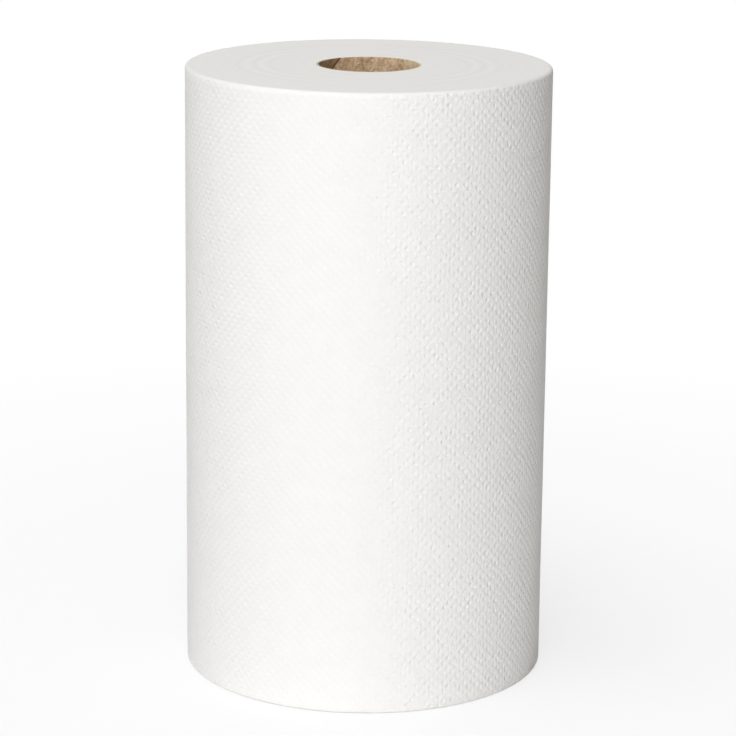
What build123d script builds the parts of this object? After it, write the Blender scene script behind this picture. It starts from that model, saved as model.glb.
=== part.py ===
from build123d import *
import os

# A hard-wound roll of embossed paper towel on a spiral-wound kraft tube, standing on its end.
# The origin is on the tube's axis at the resting face, +Z runs up the axis. Millimetres.

# The tube
core_bore_diameter = 38.1
board_ply = 0.4
board_plies = 2

# The wound web
roll_diameter = 139.0
roll_width = 234.0
wound_sheet = 0.2
rim_round = 1.3
tail_azimuth = 90.0

core_bore_radius = core_bore_diameter / 2
core_outer_radius = core_bore_radius + board_ply * board_plies
roll_radius = roll_diameter / 2


def half_turn(turn_radius):
    """Half a round slab of web from its axis out, with both outer rims rounded, on the +Y side."""
    section = Rectangle(turn_radius, roll_width, align=(Align.MIN, Align.MIN))
    rim_corners = section.vertices().group_by(Axis.X)[-1]
    section = fillet(rim_corners, rim_round)
    return revolve(Plane.XZ * section, Axis.Z, 180)


def towel_winding():
    """All turns of the web as one solid. The last turn spirals in by one sheet from its tail edge."""
    # Two half turns about axes half a sheet apart meet smoothly on one side and leave
    # a step of one sheet, the tail edge, on the other.
    first_half = half_turn(roll_radius)
    second_half = half_turn(roll_radius - wound_sheet / 2)
    second_half = Pos(-wound_sheet / 2, 0, 0) * Rot(0, 0, 180) * second_half
    slab = first_half + second_half
    seat_on_core = Cylinder(core_outer_radius, roll_width, align=(Align.CENTER, Align.CENTER, Align.MIN))
    return Rot(0, 0, tail_azimuth) * (slab - seat_on_core)


def core_tube():
    """The glued board plies as one tube, sawn to length together with the web."""
    board = Cylinder(core_outer_radius, roll_width, align=(Align.CENTER, Align.CENTER, Align.MIN))
    bore = Cylinder(core_bore_radius, roll_width, align=(Align.CENTER, Align.CENTER, Align.MIN))
    return board - bore


pieces = {
    "towel_winding": towel_winding(),
    "core_tube": core_tube(),
}

os.makedirs("parts", exist_ok=True)
for name, piece in pieces.items():
    solids = piece.solids()
    print(name, len(solids), "solid", round(piece.volume), "mm3", piece.bounding_box())
    export_step(solids[0], f"parts/{name}.step")
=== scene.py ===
# %% [markdown]
# # A roll of paper towel, standing on its end
#
# The real roll is one long sheet of embossed tissue, wound tight on a kraft tube and sawn to width.
# The construction model gives it as two plain solids. This notebook gives both their looks: the pressed
# dots, the soft rims, the sawn turns at each end, and the brown board of the tube with its spiral seam.

# %% Load the frame
import math

import bpy
import numpy as np
from mathutils import Matrix, Vector


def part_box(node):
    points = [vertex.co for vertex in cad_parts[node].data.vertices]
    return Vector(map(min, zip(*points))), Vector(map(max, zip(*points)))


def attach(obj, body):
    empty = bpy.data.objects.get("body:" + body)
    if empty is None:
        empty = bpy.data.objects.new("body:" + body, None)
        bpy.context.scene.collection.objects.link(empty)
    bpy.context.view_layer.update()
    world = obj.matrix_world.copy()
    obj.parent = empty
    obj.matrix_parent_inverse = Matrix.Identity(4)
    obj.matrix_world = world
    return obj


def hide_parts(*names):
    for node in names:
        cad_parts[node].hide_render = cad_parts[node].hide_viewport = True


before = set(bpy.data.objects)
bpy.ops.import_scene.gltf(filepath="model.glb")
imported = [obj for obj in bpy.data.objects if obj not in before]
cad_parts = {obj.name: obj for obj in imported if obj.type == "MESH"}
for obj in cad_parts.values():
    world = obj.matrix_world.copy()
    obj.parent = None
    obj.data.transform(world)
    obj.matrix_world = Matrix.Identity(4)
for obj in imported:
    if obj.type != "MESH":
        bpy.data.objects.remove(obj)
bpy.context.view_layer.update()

# %% [markdown]
# ## Sizes
#
# Every length below is in metres and comes from the frame, or is a real thickness of paper or board.
# The winding's box gives the roll's radius and width. The tube's box gives the radius it is wound on.

# %% Sizes from the frame
MM = 0.001
winding_low, winding_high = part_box("towel_winding")
core_low, core_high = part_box("core_tube")
roll_radius = winding_high.y
roll_width = winding_high.z - winding_low.z
core_outer_radius = core_high.x
core_wall = 0.8 * MM
core_bore_radius = core_outer_radius - core_wall
print("roll radius", round(roll_radius / MM, 2), "width", round(roll_width / MM, 2))
print("bore radius", round(core_bore_radius / MM, 2))

# %% [markdown]
# ## Small helpers
#
# Colours are written as sRGB hex, the way a designer picks them, and one function turns them into the
# linear values that a shader works with. One more function adds a shader node, sets it and links it.
# A third one turns lists of points and faces into a smooth mesh piece.

# %% Helpers
def linear(hex_colour):
    """A linear RGBA colour from sRGB hex."""
    channels = [int(hex_colour[i:i + 2], 16) / 255 for i in (0, 2, 4)]
    return [c / 12.92 if c <= 0.04045 else ((c + 0.055) / 1.055) ** 2.4 for c in channels] + [1.0]


def add_node(tree, kind, inputs=None, **settings):
    """Adds one node with its settings. Each input takes a plain value, or another node's output."""
    made = tree.nodes.new(kind)
    for name, value in settings.items():
        setattr(made, name, value)
    for name, value in (inputs or {}).items():
        if isinstance(value, bpy.types.NodeSocket):
            tree.links.new(value, made.inputs[name])
        else:
            made.inputs[name].default_value = value
    return made


def new_material(name):
    """An empty material with its output and a principled shader, ready for nodes."""
    material = bpy.data.materials.new(name)
    material.use_nodes = True
    tree = material.node_tree
    tree.nodes.clear()
    shader = add_node(tree, "ShaderNodeBsdfPrincipled")
    add_node(tree, "ShaderNodeOutputMaterial", {"Surface": shader.outputs["BSDF"]})
    return material, tree, shader


def mesh_piece(name, points, faces, materials, face_materials, web_places):
    """A smooth mesh object. web_places is each point's place on the unrolled sheet or strip."""
    mesh = bpy.data.meshes.new(name)
    mesh.from_pydata(points, [], faces)
    for material in materials:
        mesh.materials.append(material)
    mesh.polygons.foreach_set("material_index", face_materials)
    mesh.polygons.foreach_set("use_smooth", [True] * len(faces))
    corners = np.empty(len(mesh.loops), dtype=np.int32)
    mesh.loops.foreach_get("vertex_index", corners)
    layer = mesh.uv_layers.new(name="web")
    layer.data.foreach_set("uv", np.array(web_places, dtype=np.float32)[corners].ravel())
    mesh.validate()
    piece = bpy.data.objects.new(name, mesh)
    bpy.context.scene.collection.objects.link(piece)
    triangles = sum(len(face) - 2 for face in faces)
    print(name, len(points), "points", triangles, "triangles")
    return piece


# %% [markdown]
# ## The embossing pattern
#
# A steel roll with blunt pins presses the towel before it is wound. The pins stand in a centred square
# pattern, so the dots line up on diagonals, about 2.6 mm apart. The pattern repeats every 3.7 mm both
# ways, and whole repeats have to fit round the roll and up it.
#
# One formula gives the pressed depth anywhere: half the sum of two cosines is 1 or -1 on each dot and 0
# half way between, and the cube of its size is a round dimple 1.1 mm wide with a soft edge. The mesh and
# the tissue's finish both use it, so that the fine shading falls on the real dents.

# %% Pattern sizes
pattern_repeat = 3.7 * MM
rim_round = 1.3 * MM
straight_side = roll_width - 2 * rim_round
repeats_round = round(2 * math.pi * roll_radius / pattern_repeat)
repeats_high = round(straight_side / pattern_repeat)
repeat_high = straight_side / repeats_high
wound_sheet = 0.2 * MM
tail_angle = math.radians(90)
dot_power = 3.0
print("repeats round", repeats_round, "repeats high", repeats_high)


def dimple(across, up):
    """Pressed depth from 0 to 1 at a place on the web, in pattern repeats."""
    return abs(0.5 * (math.cos(2 * math.pi * across) + math.cos(2 * math.pi * up))) ** dot_power


# %% [markdown]
# ## Where the sheet lies flattest
#
# A sheet wound under tension is pulled flatter in one place than in another, and its dots are fainter
# there. On this roll that place is at the front, a little to the left. A weight for each point could be
# painted by hand. A formula is shorter, and the mesh and the finish can share it: a cosine that is 1 in
# that place and 0 opposite, raised to a power until it is about 48 degrees wide at half its height.

# %% Relief round the roll
tight_angle = math.radians(162)
tight_loss = 0.7
tight_power = 16


def relief_left(across):
    """The share of the relief that is left where the sheet is pulled flattest, and 1 far from there."""
    turn = 2 * math.pi * across / repeats_round - tight_angle
    return 1 - tight_loss * (0.5 + 0.5 * math.cos(turn)) ** tight_power


print("relief left at the flattest place", round(1 - tight_loss, 2))

# %% [markdown]
# ## The winding's skin
#
# A modifier that pushes a fine grid about would need millions of faces here. Instead each dot gets just
# the points it needs: one at its bottom, four on its wall, and the four corners of its diamond, which it
# shares with its neighbours. That is 12 triangles a dot for some 15 000 dots, as real relief.
#
# The points are placed on a flat map of the web, in half repeats, and rolled up at the end. The radius
# shrinks by one sheet over the turn, as on the real roll, so the tail edge is a true step at the back.
# Winding presses some dots flatter than others, so each has a depth of its own.

# %% The side, dot by dot
random = np.random.RandomState(7)
columns = 2 * repeats_round
rows = 2 * repeats_high
wall_place = 0.40
dot_depth = 0.11 * MM
depth_spread = 0.4
swell_height = 0.02 * MM
SIDES = [(1, 0), (0, 1), (-1, 0), (0, -1)]
TISSUE, SAWN = 0, 1

depth_of_dot = 1 + depth_spread * random.standard_normal((columns + 1, rows + 1)).clip(-1.6, 1.6)
swell_phases = random.uniform(0, 2 * math.pi, 8)
points = []
web_places = []
faces = []
face_materials = []


def slow_swell(across, up):
    """How far the tight web sinks in from a true cylinder, in metres. It never stands out of it."""
    turn = 2 * math.pi * across / repeats_round
    rise = 2 * math.pi * up / repeats_high
    waves = (math.sin(3 * turn + swell_phases[0] + 0.6 * math.sin(rise + swell_phases[1]))
             + math.sin(5 * turn + swell_phases[2] + 0.8 * math.sin(rise + swell_phases[3]))
             + math.sin(11 * turn + 1.5 * math.sin(2 * rise + swell_phases[4]) + swell_phases[5]))
    return swell_height * (3 + waves)


def add_point(across, sink, height, place_up):
    """Rolls up one point of the map: sink is how far it lies inside the turn's own radius."""
    angle = tail_angle + 2 * math.pi * across / repeats_round
    radius = roll_radius - wound_sheet * across / repeats_round - sink
    points.append((radius * math.cos(angle), radius * math.sin(angle), height))
    web_places.append((across, place_up))
    return len(points) - 1


def add_face(corners, material):
    faces.append(corners)
    face_materials.append(material)


def side_point(across, up, depth):
    """One point of the embossed side, sunk by the slow swell and by its dot."""
    sink = slow_swell(across, up) + depth * dot_depth * dimple(across, up) * relief_left(across)
    return add_point(across, sink, rim_round + up * repeat_high, up)


grid = []
for column in range(columns + 1):
    line_up = [side_point(column / 2, row / 2, depth_of_dot[column, row]) for row in range(rows + 1)]
    grid.append(line_up)

dots = [(column, row) for column in range(columns + 1) for row in range(column % 2, rows + 1, 2)]
walls = {}
for column, row in dots:
    for side, (across, up) in enumerate(SIDES):
        if 0 <= column + across <= columns and 0 <= row + up <= rows:
            place = ((column + wall_place * across) / 2, (row + wall_place * up) / 2)
            walls[column, row, side] = side_point(*place, depth_of_dot[column, row])

for column, row in dots:
    for side in range(4):
        after = (side + 1) % 4
        if (column, row, side) in walls and (column, row, after) in walls:
            corner = grid[column + SIDES[side][0]][row + SIDES[side][1]]
            next_corner = grid[column + SIDES[after][0]][row + SIDES[after][1]]
            wall = walls[column, row, side]
            next_wall = walls[column, row, after]
            add_face((grid[column][row], wall, next_wall), TISSUE)
            add_face((wall, corner, next_corner, next_wall), TISSUE)
print("dots", len(dots), "side faces", len(faces))

# %% [markdown]
# ## Rims and sawn ends
#
# A log saw cuts the wound log into rolls. The outer turns curl over a little at the cut and their edges
# fray, which gives the soft, slightly ragged rim. The turns below are cut flat, each a hair higher or
# lower than the next. Rings of points from the rim to the tube follow that: close together, uneven, and
# never above the roll's own ends. Only the first step of the rim is still the sheet's face; past it the
# cut edges show.

# %% Rims and sawn ends
RIGHT, UP, LEFT, DOWN = range(4)
rim_steps = 4
rim_fuzz = 0.12 * MM
fuzz_random = np.random.RandomState(11)
end_rings = 16
end_unevenness = 0.06 * MM
flat_radius = roll_radius - rim_round - 1.2 * MM


def edge_row(row):
    """The points along one edge of the map, from the tail edge round to where it starts."""
    found = []
    for column in range(columns + 1):
        found += [walls[column, row, LEFT]] if (column, row, LEFT) in walls else []
        found.append(grid[column][row])
        found += [walls[column, row, RIGHT]] if (column, row, RIGHT) in walls else []
    return found


def edge_column(column):
    """The points up one edge of the map, where the sheet starts or ends."""
    found = []
    for row in range(rows + 1):
        found += [walls[column, row, DOWN]] if (column, row, DOWN) in walls else []
        found.append(grid[column][row])
        found += [walls[column, row, UP]] if (column, row, UP) in walls else []
    return found


def join(lower, upper, material, flip):
    """Faces between two rows of as many points. flip turns them over, for the end that faces down."""
    for a, b, c, d in zip(lower, lower[1:], upper[1:], upper):
        add_face((a, d, c, b) if flip else (a, b, c, d), material)


def end_ring(radius, height):
    """A closed ring of points about the axis, one for each repeat of the pattern."""
    found = []
    for step in range(repeats_round):
        angle = tail_angle + 2 * math.pi * step / repeats_round
        points.append((radius * math.cos(angle), radius * math.sin(angle), height))
        web_places.append((0, 0))
        found.append(len(points) - 1)
    return found


def finish_end(edge, flip):
    """Builds the rim and the sawn face beyond one edge. Returns the innermost ring and the rim's seams."""
    seam = [(edge[-1], edge[0])]
    face_height = 0 if flip else roll_width
    outward = -1 if flip else 1
    row = edge
    for step in range(1, rim_steps + 1):
        lean = math.pi / 2 * step / rim_steps
        curl = rim_round * (1 - math.cos(lean))
        height = face_height - outward * rim_round * (1 - math.sin(lean))
        place_up = (0 if flip else repeats_high) + outward * rim_round * lean / repeat_high
        new_row = []
        for index in edge:
            across, up = web_places[index]
            fray = rim_fuzz * fuzz_random.uniform(0, 1) * step / rim_steps
            new_row.append(add_point(across, slow_swell(across, up) + curl + fray, height, place_up))
        join(row, new_row, TISSUE if step <= 1 else SAWN, flip)
        row = new_row
        seam.append((row[-1], row[0]))

    shares = np.sort(random.uniform(0, 1, end_rings - 1))
    shares = [0] + list(0.5 * shares + 0.5 * np.arange(1, end_rings) / end_rings) + [1]
    sinks = end_unevenness * random.uniform(0, 1, end_rings + 1)
    sinks[-2:] = 0
    ring = None
    for share, sink in zip(shares, sinks):
        radius = flat_radius + (core_outer_radius - flat_radius) * share
        new_ring = end_ring(radius, face_height - outward * sink)
        if ring is None:
            # The sawn face needs one point for every four of the rim, so each face here takes five.
            for group in range(repeats_round):
                outer = row[4 * group:4 * group + 5]
                inner = [new_ring[(group + 1) % repeats_round], new_ring[group]]
                add_face(tuple(reversed(outer + inner)) if flip else tuple(outer + inner), SAWN)
            sliver = (row[-1], row[0], new_ring[0])
            add_face(tuple(reversed(sliver)) if flip else sliver, SAWN)
        else:
            join(ring + ring[:1], new_ring + new_ring[:1], SAWN, flip)
        ring = new_ring
    return ring, seam


top_ring, top_seam = finish_end(edge_row(rows), False)
bottom_ring, bottom_seam = finish_end(edge_row(0), True)
join(top_ring + top_ring[:1], bottom_ring + bottom_ring[:1], SAWN, False)

# The tail edge: a strip from the last turn's cut edge down to the turn it lies on.
inner_side = edge_column(0)
outer_side = edge_column(columns)
tail_start = [pair[1] for pair in reversed(bottom_seam[1:])] + inner_side + [pair[1] for pair in top_seam[1:]]
tail_end = [pair[0] for pair in reversed(bottom_seam[1:])] + outer_side + [pair[0] for pair in top_seam[1:]]
join(tail_end, tail_start, TISSUE, True)
print("faces with both ends", len(faces))

# %% [markdown]
# ## Embossed tissue
#
# Dry-crept tissue is a mat of bleached wood fibre. It has no gloss to speak of and is very slightly warm.
# The eye reads it by its relief: the dots, which differ a little because the winding has pressed some of
# them flatter, and the fine crepe lines that run across the web, so up the roll. Crepe is about 0.3 mm
# from ridge to ridge; it is drawn three times as coarse, because finer would not show.
#
# The shading repeats the dimple formula of the mesh on the unrolled sheet. That adds the part of each
# dent that is finer than the mesh.

# %% Embossed tissue
dot_height = 0.25 * MM
dot_wander = 0.5
crepe_mm = 0.9
crepe_height = 0.34 * MM
felt_mm = 0.45
felt_height = 0.01 * MM


def embossed_tissue():
    material, tree, shader = new_material("embossed_tissue")
    web = add_node(tree, "ShaderNodeUVMap", uv_map="web").outputs["UV"]
    repeat_mm = pattern_repeat / MM

    # The dots wander a little from their places, as paper does when it is wound.
    wander = add_node(tree, "ShaderNodeTexNoise", {"Vector": web, "Scale": 0.35, "Detail": 1.0})
    wander = add_node(tree, "ShaderNodeVectorMath", {0: wander.outputs["Color"], 1: (0.5, 0.5, 0.5)},
                      operation="SUBTRACT")
    wander = add_node(tree, "ShaderNodeVectorMath", {0: wander.outputs[0], "Scale": dot_wander},
                      operation="SCALE")
    place = add_node(tree, "ShaderNodeVectorMath", {0: web, 1: wander.outputs[0]}, operation="ADD")

    # The dimple formula: half the sum of two cosines, its size, and the cube of that.
    turns = add_node(tree, "ShaderNodeVectorMath", {0: place.outputs[0], "Scale": 2 * math.pi},
                     operation="SCALE")
    turns = add_node(tree, "ShaderNodeSeparateXYZ", {0: turns.outputs[0]})
    across = add_node(tree, "ShaderNodeMath", {0: turns.outputs["X"]}, operation="COSINE")
    up = add_node(tree, "ShaderNodeMath", {0: turns.outputs["Y"]}, operation="COSINE")
    both = add_node(tree, "ShaderNodeMath", {0: across.outputs[0], 1: up.outputs[0]}, operation="ADD")
    half = add_node(tree, "ShaderNodeMath", {0: both.outputs[0], 1: 0.5}, operation="MULTIPLY")
    size = add_node(tree, "ShaderNodeMath", {0: half.outputs[0]}, operation="ABSOLUTE")
    dots = add_node(tree, "ShaderNodeMath", {0: size.outputs[0], 1: dot_power}, operation="POWER")

    # Some dots are pressed flatter than others.
    strength = add_node(tree, "ShaderNodeTexNoise",
                        {"Vector": web, "Scale": 0.9, "Detail": 2.0, "Roughness": 0.6})
    strength = add_node(tree, "ShaderNodeMapRange", {"Value": strength.outputs["Fac"], "From Min": 0.3,
                                                     "From Max": 0.7, "To Min": 0.2, "To Max": 1.35})
    pressed = add_node(tree, "ShaderNodeMath", {0: dots.outputs[0], 1: strength.outputs[0]},
                       operation="MULTIPLY")

    # Round the roll the relief fades to least where the sheet is pulled flattest.
    round_roll = add_node(tree, "ShaderNodeSeparateXYZ", {0: web})
    turn = add_node(tree, "ShaderNodeMath", {0: round_roll.outputs["X"], 1: 2 * math.pi / repeats_round,
                                             2: -tight_angle}, operation="MULTIPLY_ADD")
    near = add_node(tree, "ShaderNodeMath", {0: turn.outputs[0]}, operation="COSINE")
    near = add_node(tree, "ShaderNodeMath", {0: near.outputs[0], 1: 0.5, 2: 0.5}, operation="MULTIPLY_ADD")
    near = add_node(tree, "ShaderNodeMath", {0: near.outputs[0], 1: tight_power}, operation="POWER")
    left = add_node(tree, "ShaderNodeMath", {0: near.outputs[0], 1: -tight_loss, 2: 1.0},
                    operation="MULTIPLY_ADD")
    pressed = add_node(tree, "ShaderNodeMath", {0: pressed.outputs[0], 1: left.outputs[0]},
                       operation="MULTIPLY")

    # Crepe lines, stretched up the roll, and the felt of fibres between them, coarser than real as well.
    stretched = add_node(tree, "ShaderNodeVectorMath",
                         {0: web, 1: (repeat_mm / crepe_mm, repeat_mm / (2 * crepe_mm), 1)},
                         operation="MULTIPLY")
    crepe = add_node(tree, "ShaderNodeTexNoise",
                     {"Vector": stretched.outputs[0], "Scale": 1.0, "Detail": 2.0})
    crepe = add_node(tree, "ShaderNodeMath", {0: crepe.outputs["Fac"], 1: left.outputs[0]},
                     operation="MULTIPLY")
    felt = add_node(tree, "ShaderNodeTexNoise", {"Vector": web, "Scale": repeat_mm / felt_mm, "Detail": 3.0})

    relief = add_node(tree, "ShaderNodeBump", {"Strength": 1.0, "Distance": dot_height,
                                               "Height": pressed.outputs[0]}, invert=True)
    relief = add_node(tree, "ShaderNodeBump", {"Strength": 1.0, "Distance": crepe_height,
                                               "Height": crepe.outputs[0], "Normal": relief.outputs[0]})
    relief = add_node(tree, "ShaderNodeBump", {"Strength": 1.0, "Distance": felt_height,
                                               "Height": felt.outputs["Fac"], "Normal": relief.outputs[0]})

    # The fibre mat is cloudy when held up to light; lying on the roll that is a trace of tone. Each dot is
    # painted a shade whiter than the mat round it: painted light for the light that bounces inside each
    # dimple.
    cloud = add_node(tree, "ShaderNodeTexNoise", {"Vector": web, "Scale": 0.5, "Detail": 4.0})
    tone = add_node(tree, "ShaderNodeMix", {0: cloud.outputs["Fac"], 6: linear("F0EFED"),
                                            7: linear("F5F4F2")}, data_type="RGBA")
    tone = add_node(tree, "ShaderNodeMix", {0: pressed.outputs[0], 6: tone.outputs[2],
                                            7: linear("F6F5F4")}, data_type="RGBA")
    tree.links.new(tone.outputs[2], shader.inputs["Base Color"])
    tree.links.new(relief.outputs[0], shader.inputs["Normal"])
    shader.inputs["Roughness"].default_value = 0.95
    shader.inputs["IOR"].default_value = 1.5
    shader.inputs["Specular IOR Level"].default_value = 0.2
    return material


# %% [markdown]
# ## Sawn tissue ends
#
# The cut turns are the same paper seen edge on. Light goes in between the edges and less of it comes
# back, so the ends are a shade duller than the side. The turns show as rings about the axis. Each is
# 0.2 mm, too fine to show, so what is drawn is the uneven groups of turns, half a millimetre to 3 mm
# wide. The fuzz of cut fibres is drawn half a millimetre long for the same reason.

# %% Sawn tissue ends
fine_turns = 0.5 * MM
broad_turns = 3 * MM
fuzz_size = 0.5 * MM


def sawn_tissue_edges():
    material, tree, shader = new_material("sawn_tissue_edges")
    place = add_node(tree, "ShaderNodeTexCoord").outputs["Object"]
    flat = add_node(tree, "ShaderNodeVectorMath", {0: place, 1: (1, 1, 0)}, operation="MULTIPLY")
    out = add_node(tree, "ShaderNodeVectorMath", {0: flat.outputs[0]}, operation="LENGTH")
    fine = add_node(tree, "ShaderNodeTexNoise", {"W": out.outputs["Value"], "Scale": 1 / fine_turns,
                                                 "Detail": 2.0}, noise_dimensions="1D")
    broad = add_node(tree, "ShaderNodeTexNoise", {"W": out.outputs["Value"], "Scale": 1 / broad_turns,
                                                  "Detail": 2.0}, noise_dimensions="1D")
    fuzz = add_node(tree, "ShaderNodeTexNoise", {"Vector": place, "Scale": 1 / fuzz_size, "Detail": 3.0})
    relief = add_node(tree, "ShaderNodeBump", {"Strength": 1.0, "Distance": 0.02 * MM,
                                               "Height": fine.outputs["Fac"]})
    relief = add_node(tree, "ShaderNodeBump", {"Strength": 1.0, "Distance": 0.06 * MM,
                                               "Height": broad.outputs["Fac"], "Normal": relief.outputs[0]})
    relief = add_node(tree, "ShaderNodeBump", {"Strength": 1.0, "Distance": 0.02 * MM,
                                               "Height": fuzz.outputs["Fac"], "Normal": relief.outputs[0]})
    tone = add_node(tree, "ShaderNodeMix", {0: broad.outputs["Fac"], 6: linear("E9E8E5"),
                                            7: linear("F2F1EF")}, data_type="RGBA")
    tree.links.new(tone.outputs[2], shader.inputs["Base Color"])
    tree.links.new(relief.outputs[0], shader.inputs["Normal"])
    shader.inputs["Roughness"].default_value = 1.0
    shader.inputs["Specular IOR Level"].default_value = 0.1
    return material


# %% [markdown]
# ## Putting the winding together
#
# The piece takes the place of the plain winding in the frame. Edges over 40 degrees, at the tube and at
# the tail, are kept sharp, because smooth shading across them would leave false dark rings.

# %% Make the winding
sharp_edge = math.radians(40)
tissues = [embossed_tissue(), sawn_tissue_edges()]
winding = mesh_piece("embossed_winding", points, faces, tissues, face_materials, web_places)
winding.data.set_sharp_from_angle(angle=sharp_edge)
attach(winding, "root")
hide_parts("towel_winding")

# %% [markdown]
# ## The kraft tube
#
# Two strips of brown board are wound on a mandrel as a helix and glued, the outer one over the inner
# one's joint. Inside the bore the inner strip's edges meet in a slanting seam with a narrow gap, dark
# with glue. The tube's columns of points follow that helix, so the gap is two columns of the mesh pushed
# into the wall, with a material of its own, and no cutting tool is needed.

# %% The tube
seam_lead = 112 * MM
seam_top_angle = math.radians(90 + 36)
seam_width = 0.8 * MM
seam_depth = 0.3 * MM
seat_gap = 0.02 * MM
tube_columns = 96
tube_rows = 60
BOARD, SAWN_BOARD, GLUE = range(3)


def kraft_tube_mesh():
    """Points and faces of the tube: bore and outside as helical grids, with flat sawn ends."""
    seam_half = seam_width / 2 / core_bore_radius
    angles = [-seam_half, -0.6 * seam_half, 0.6 * seam_half, seam_half]
    span = 2 * math.pi - 2 * seam_half
    angles += [seam_half + span * i / (tube_columns - 3) for i in range(1, tube_columns - 3)]
    found, made, kinds, places = [], [], [], []

    def tube_point(radius, column, height, twist):
        angle = seam_top_angle + angles[column] + twist
        found.append((radius * math.cos(angle), radius * math.sin(angle), height))
        places.append(((angles[column] + seam_half) / (2 * math.pi), height / roll_width))
        return len(found) - 1

    shells = []
    for outside in (False, True):
        shell = []
        for row in range(tube_rows + 1):
            height = roll_width * row / tube_rows
            twist = 2 * math.pi * (roll_width - height) / seam_lead
            ring = []
            for column in range(len(angles)):
                radius = core_outer_radius - seat_gap if outside else core_bore_radius
                if column in (1, 2) and not outside:
                    radius += seam_depth
                ring.append(tube_point(radius, column, height, twist))
            shell.append(ring + ring[:1])
        shells.append(shell)
    bore, outer = shells
    for lower, upper in zip(bore, bore[1:]):
        for column, (a, b, c, d) in enumerate(zip(lower, lower[1:], upper[1:], upper)):
            made.append((a, d, c, b))
            kinds.append(GLUE if column < 3 else BOARD)
    for lower, upper in zip(outer, outer[1:]):
        for a, b, c, d in zip(lower, lower[1:], upper[1:], upper):
            made.append((a, b, c, d))
            kinds.append(BOARD)
    for a, b, c, d in zip(bore[-1], bore[-1][1:], outer[-1][1:], outer[-1]):
        made.append((a, d, c, b))
        kinds.append(SAWN_BOARD)
    for a, b, c, d in zip(bore[0], bore[0][1:], outer[0][1:], outer[0]):
        made.append((a, b, c, d))
        kinds.append(SAWN_BOARD)
    return found, made, kinds, places


tube_points, tube_faces, tube_kinds, tube_places = kraft_tube_mesh()
print("tube faces", len(tube_faces))

# %% [markdown]
# ## Kraft board
#
# Kraft board is unbleached pulp: mid brown, matte, flecked with darker bark and paler straw, and a little
# blotchy. Its flecks are 0.3 to 1 mm long; they are drawn at about 1 mm, because finer ones would not
# show. Along one side of the seam the board is painted darker, as painted shade, and that fades out round
# the bore. One function makes three finishes from three tones each: the board's face, its paler sawn
# edge, and the dark glue in the seam.

# %% Kraft board
blotch_size = 7 * MM
fleck_size = 1.1 * MM
painted_bore_shade_share = 0.5


def spiral_wound_kraft(name, dark, mid, pale):
    material, tree, shader = new_material(name)
    place = add_node(tree, "ShaderNodeTexCoord").outputs["Object"]
    blotch = add_node(tree, "ShaderNodeTexNoise", {"Vector": place, "Scale": 1 / blotch_size,
                                                   "Detail": 3.0, "Roughness": 0.6})
    fleck = add_node(tree, "ShaderNodeTexNoise", {"Vector": place, "Scale": 1 / fleck_size,
                                                  "Detail": 2.0, "Roughness": 0.6})
    mixed = add_node(tree, "ShaderNodeMath", {0: blotch.outputs["Fac"], 1: 0.5}, operation="MULTIPLY")
    mixed = add_node(tree, "ShaderNodeMath", {0: fleck.outputs["Fac"], 1: 0.5, 2: mixed.outputs[0]},
                     operation="MULTIPLY_ADD")
    ramp = add_node(tree, "ShaderNodeValToRGB", {"Fac": mixed.outputs[0]})
    stops = ramp.color_ramp.elements
    stops[0].position = 0.36
    stops[0].color = linear(dark)
    stops[1].position = 0.64
    stops[1].color = linear(pale)
    middle = stops.new(0.5)
    middle.color = linear(mid)
    relief = add_node(tree, "ShaderNodeBump", {"Strength": 1.0, "Distance": 0.03 * MM,
                                               "Height": fleck.outputs["Fac"]})

    # The strip's own map gives the way round the bore from the seam, as a share of the turn.
    web = add_node(tree, "ShaderNodeUVMap", uv_map="web").outputs["UV"]
    round_bore = add_node(tree, "ShaderNodeSeparateXYZ", {0: web})
    # Painted shade: the board is darkened beside the seam, fading out round the bore.
    painted_bore_shade = add_node(tree, "ShaderNodeMapRange", {"Value": round_bore.outputs["X"], "From Min": 0.12,
                                                   "From Max": 0.3, "To Min": painted_bore_shade_share, "To Max": 0.0})
    tone = add_node(tree, "ShaderNodeMix", {0: painted_bore_shade.outputs[0], 6: ramp.outputs["Color"],
                                            7: linear("6A4C30")}, data_type="RGBA")
    tree.links.new(tone.outputs[2], shader.inputs["Base Color"])
    tree.links.new(relief.outputs[0], shader.inputs["Normal"])
    shader.inputs["Roughness"].default_value = 0.85
    shader.inputs["Specular IOR Level"].default_value = 0.25
    return material


tube_materials = [spiral_wound_kraft("spiral_wound_kraft", "B2916F", "DEC29F", "F3E5C6"),
                  spiral_wound_kraft("sawn_kraft_edge", "CDB495", "DEC8AC", "EBDAC4"),
                  spiral_wound_kraft("glue_dark_seam", "5A4028", "6E5034", "86663F")]
core = mesh_piece("kraft_core", tube_points, tube_faces, tube_materials, tube_kinds, tube_places)
core.data.set_sharp_from_angle(angle=sharp_edge)
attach(core, "root")
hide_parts("core_tube")

# %% [markdown]
# ## Floor and studio
#
# The roll stands in a white sweep, as in a catalogue studio. The floor is a plain white sheet that takes
# the roll's soft shadow. To the camera it is lit through from below as well, lightly beside the roll and
# fully half a metre away, so it runs out to pure white with no horizon. Only camera rays see that light,
# so none of it falls on the paper. In the same way the world is white to the camera and in reflections,
# and gives no light itself: the softboxes do that.

# %% Floor and world
floor_half = 6.0
glow_near, glow_far = 0.1, 0.5
ambient = 0.0


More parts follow.
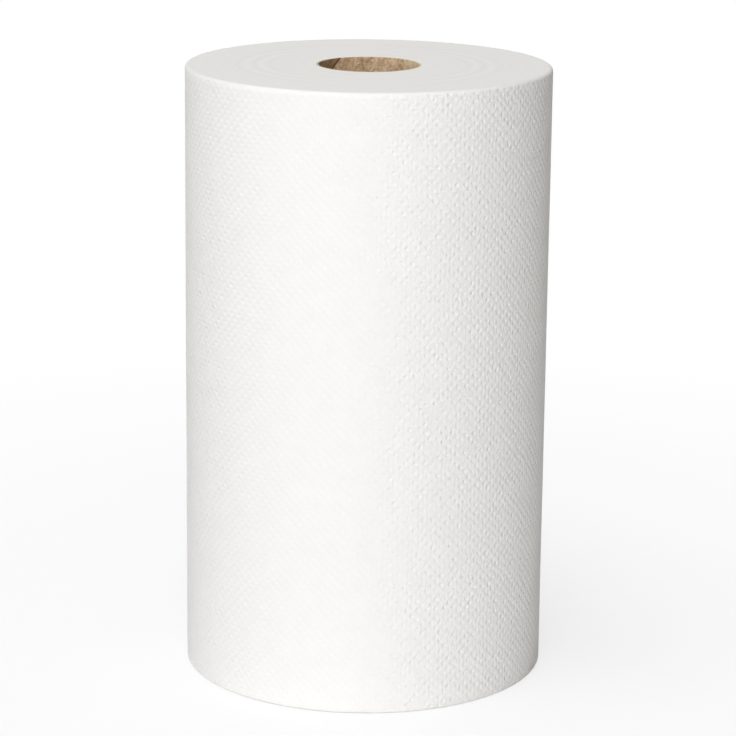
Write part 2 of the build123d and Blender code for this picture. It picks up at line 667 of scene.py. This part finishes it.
def white_sweep():
    material = bpy.data.materials.new("white_sweep")
    material.use_nodes = True
    tree = material.node_tree
    tree.nodes.clear()
    paper = add_node(tree, "ShaderNodeBsdfDiffuse", {"Color": linear("F4F4F4")})
    lit = add_node(tree, "ShaderNodeEmission", {"Color": (1, 1, 1, 1), "Strength": 1.0})
    seen = add_node(tree, "ShaderNodeLightPath")
    place = add_node(tree, "ShaderNodeTexCoord").outputs["Object"]
    away = add_node(tree, "ShaderNodeVectorMath", {0: place}, operation="LENGTH")
    glow = add_node(tree, "ShaderNodeMapRange", {"Value": away.outputs["Value"], "From Min": glow_near,
                                                 "From Max": glow_far, "To Min": 0.75, "To Max": 1.0})
    share = add_node(tree, "ShaderNodeMath", {0: seen.outputs["Is Camera Ray"], 1: glow.outputs[0]},
                     operation="MULTIPLY")
    both = add_node(tree, "ShaderNodeMixShader", {0: share.outputs[0], 1: paper.outputs[0],
                                                  2: lit.outputs[0]})
    add_node(tree, "ShaderNodeOutputMaterial", {"Surface": both.outputs[0]})
    return material


floor_corners = [(-floor_half, -floor_half, 0), (floor_half, -floor_half, 0),
                 (floor_half, floor_half, 0), (-floor_half, floor_half, 0)]
floor_mesh = bpy.data.meshes.new("floor")
floor_mesh.from_pydata(floor_corners, [], [(0, 1, 2, 3)])
floor_mesh.materials.append(white_sweep())
floor = bpy.data.objects.new("floor", floor_mesh)
bpy.context.scene.collection.objects.link(floor)

world = bpy.data.worlds.new("studio")
bpy.context.scene.world = world
world.use_nodes = True
sky = world.node_tree
sky.nodes.clear()
seen = add_node(sky, "ShaderNodeLightPath")
mirror_or_camera = add_node(sky, "ShaderNodeMath", {0: seen.outputs["Is Camera Ray"],
                                                    1: seen.outputs["Is Glossy Ray"]}, operation="MAXIMUM")
around = add_node(sky, "ShaderNodeBackground", {"Color": (1, 1, 1, 1), "Strength": ambient})
behind = add_node(sky, "ShaderNodeBackground", {"Color": (1, 1, 1, 1), "Strength": 1.0})
both = add_node(sky, "ShaderNodeMixShader", {0: mirror_or_camera.outputs[0], 1: around.outputs[0],
                                             2: behind.outputs[0]})
add_node(sky, "ShaderNodeOutputWorld", {"Surface": both.outputs[0]})
print("floor", 2 * floor_half, "m wide")

# %% [markdown]
# ## Lights
#
# White paper on a white ground shows its roundness only by where the light falls off, so each softbox
# has one job. All stand well back, because large far lamps give the soft edges of a catalogue studio.
# Azimuth 0 is the camera's side, and the angle grows to the right.

# %% Softboxes
def softbox(name, azimuth, elevation, distance, side, watts, tint="FFFFFF"):
    """A square area lamp that faces the middle of the roll."""
    lamp = bpy.data.lights.new(name, "AREA")
    lamp.shape = "SQUARE"
    lamp.size = side
    lamp.energy = watts
    lamp.color = linear(tint)[:3]
    stand = bpy.data.objects.new(name, lamp)
    bpy.context.scene.collection.objects.link(stand)
    turn = math.radians(azimuth)
    rise = math.radians(elevation)
    towards = Vector((math.sin(turn) * math.cos(rise), -math.cos(turn) * math.cos(rise), math.sin(rise)))
    stand.location = Vector((0, 0, roll_width / 2)) + towards * distance
    stand.rotation_mode = "QUATERNION"
    stand.rotation_quaternion = (-towards).to_track_quat("-Z", "Y")
    print(name, watts, "W from", azimuth, "degrees")


# The key, beside the camera, makes the front white and lets both sides fall away.
softbox("key", -6, 12, 3.0, 1.8, 55)
# A small one behind the left shoulder keeps the left side paler than the right.
softbox("left_fill", -120, 20, 1.6, 1.0, 3.2)
# The one overhead, to the left, lights the upper end and looks down into the bore.
softbox("overhead", -32, 74, 3.0, 1.8, 64)
# A weak warm one stands for the room's bounce on the dark side.
softbox("warm_bounce", 95, 5, 3.0, 1.8, 3.0, "FFD9A0")
# The last keeps the back from going grey, and isn't seen from the front.
softbox("back", 180, 10, 3.0, 1.8, 30)

# %% [markdown]
# ## Camera
#
# A long lens from just over a metre away looks down on the roll by about 14 degrees, so the sides are
# nearly parallel and the upper end is a thin ellipse. It is rolled by a little over half a degree,
# because the roll stands a trace askew in the frame.

# %% Camera
camera_data = bpy.data.cameras.new("camera")
camera_data.lens = 146.2
camera = bpy.data.objects.new("camera", camera_data)
bpy.context.scene.collection.objects.link(camera)
bpy.context.scene.camera = camera
camera.location = (0, -1.1204, 0.3994)
camera_roll = math.radians(0.6)
aim = Vector((0.0008, 0, roll_width / 2 - 1.1 * MM))
look = (aim - camera.location).to_track_quat("-Z", "Y").to_matrix()
camera.rotation_mode = "QUATERNION"
camera.rotation_quaternion = (look @ Matrix.Rotation(camera_roll, 3, "Z")).to_quaternion()
bpy.context.scene.view_settings.view_transform = "Standard"
print("camera", round((aim - camera.location).length, 3), "m from its aim")
